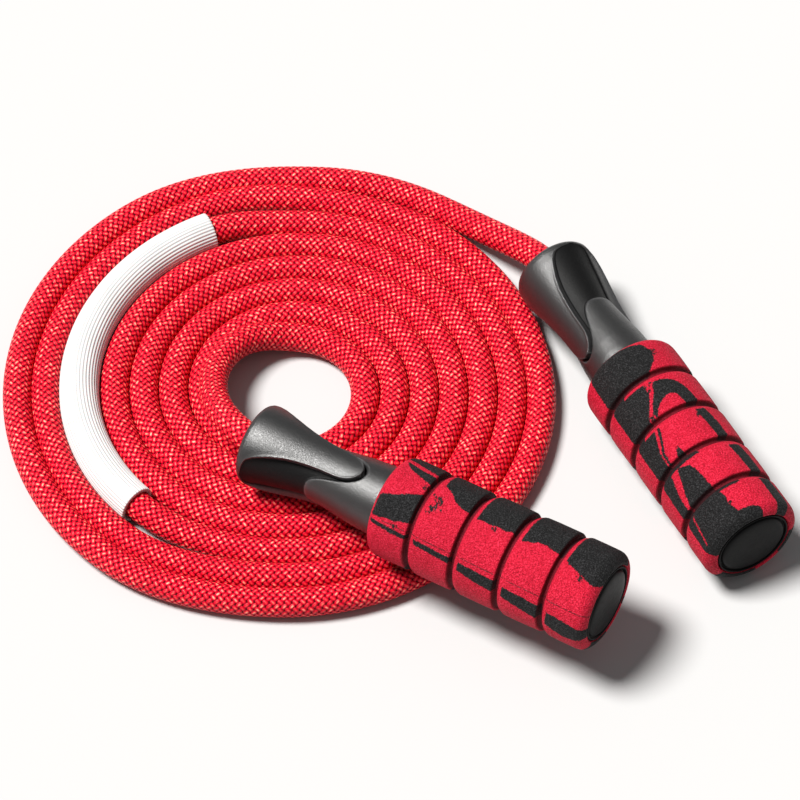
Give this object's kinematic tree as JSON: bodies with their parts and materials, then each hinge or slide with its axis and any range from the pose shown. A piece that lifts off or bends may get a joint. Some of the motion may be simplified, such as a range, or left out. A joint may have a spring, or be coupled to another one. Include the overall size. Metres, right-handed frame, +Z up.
{
  "type": "jump rope",
  "caption": "Braided jump rope wound in a flat spiral, with a wear sleeve and segmented foam grip handles that spin on ball bearings.",
  "frame": {"origin": "centre of the two handles' box at the level of the surface that the coil and handle B lie on", "axes": "+Z up from that surface; +X from the coil side towards the butts of the handles, along the longer side of the handles' box; +Y towards the lead of handle B"},
  "size_m": [0.2701, 0.2205, 0.0479],
  "materials": {
    "head_plastic": "satin",
    "cap_plastic": "satin",
    "grip_foam": "matte",
    "rope_braid": "matte",
    "sleeve_plastic": "satin",
    "bearing_steel": "polished",
    "cage_brass": "satin",
    "bush_metal": "satin"
  },
  "bodies": {
    "rope": {"rope_coil": "rope_braid", "rope_lead_a": "rope_braid", "rope_lead_b": "rope_braid", "rope_end_a": "rope_braid", "swivel_bush_a": "bush_metal", "bearing_inner_ring_a": "bearing_steel", "thrust_washer_a": "bearing_steel", "rope_clamp_a": "bush_metal", "rope_end_b": "rope_braid", "swivel_bush_b": "bush_metal", "bearing_inner_ring_b": "bearing_steel", "thrust_washer_b": "bearing_steel", "rope_clamp_b": "bush_metal"},
    "handle_a": {"handle_shell_a": "head_plastic", "foam_grip_a": "grip_foam", "bearing_outer_ring_a": "bearing_steel", "bearing_retainer_a": "cap_plastic"},
    "cap_a": {"end_cap_a": "cap_plastic"},
    "ball_cage_a": {"ball_cage_a": "cage_brass", "bearing_ball_a_1": "bearing_steel", "bearing_ball_a_2": "bearing_steel", "bearing_ball_a_3": "bearing_steel", "bearing_ball_a_4": "bearing_steel", "bearing_ball_a_5": "bearing_steel", "bearing_ball_a_6": "bearing_steel", "bearing_ball_a_7": "bearing_steel", "bearing_ball_a_8": "bearing_steel"},
    "handle_b": {"handle_shell_b": "head_plastic", "foam_grip_b": "grip_foam", "bearing_outer_ring_b": "bearing_steel", "bearing_retainer_b": "cap_plastic"},
    "cap_b": {"end_cap_b": "cap_plastic"},
    "ball_cage_b": {"ball_cage_b": "cage_brass", "bearing_ball_b_1": "bearing_steel", "bearing_ball_b_2": "bearing_steel", "bearing_ball_b_3": "bearing_steel", "bearing_ball_b_4": "bearing_steel", "bearing_ball_b_5": "bearing_steel", "bearing_ball_b_6": "bearing_steel", "bearing_ball_b_7": "bearing_steel", "bearing_ball_b_8": "bearing_steel"},
    "sleeve": {"rope_sleeve": "sleeve_plastic"}
  },
  "joints": [
    {"name": "handle_a_spin", "type": "hinge", "parent": "rope", "child": "handle_a", "pos_m": [-0.08759, -0.00246, 0.0263], "axis": [0.8609, -0.508, 0.03], "continuous": true},
    {"name": "cage_a_orbit", "type": "hinge", "parent": "rope", "child": "ball_cage_a", "pos_m": [-0.08759, -0.00246, 0.0263], "axis": [0.8609, -0.508, 0.03], "continuous": true},
    {"name": "cap_a_pull", "type": "slide", "parent": "handle_a", "child": "cap_a", "axis": [0.8609, -0.508, 0.03], "range_m": [0, 0.012]},
    {"name": "handle_b_spin", "type": "hinge", "parent": "rope", "child": "handle_b", "pos_m": [0.01405, 0.07985, 0.01674], "axis": [0.4802, -0.877, 0.0157], "continuous": true},
    {"name": "cage_b_orbit", "type": "hinge", "parent": "rope", "child": "ball_cage_b", "pos_m": [0.01405, 0.07985, 0.01674], "axis": [0.4802, -0.877, 0.0157], "continuous": true},
    {"name": "cap_b_pull", "type": "slide", "parent": "handle_b", "child": "cap_b", "axis": [0.4802, -0.877, 0.0157], "range_m": [0, 0.012]},
    {"name": "sleeve_slide", "type": "hinge", "parent": "rope", "child": "sleeve", "pos_m": [-0.07633, 0.03533, 0.0069], "axis": [0, 0, 1], "range_deg": [-2, 2]}
  ],
  "couplings": [
    {"joint": "cage_a_orbit", "follows": "handle_a_spin", "ratio": 0.5708},
    {"joint": "cage_b_orbit", "follows": "handle_b_spin", "ratio": 0.5708}
  ]
}
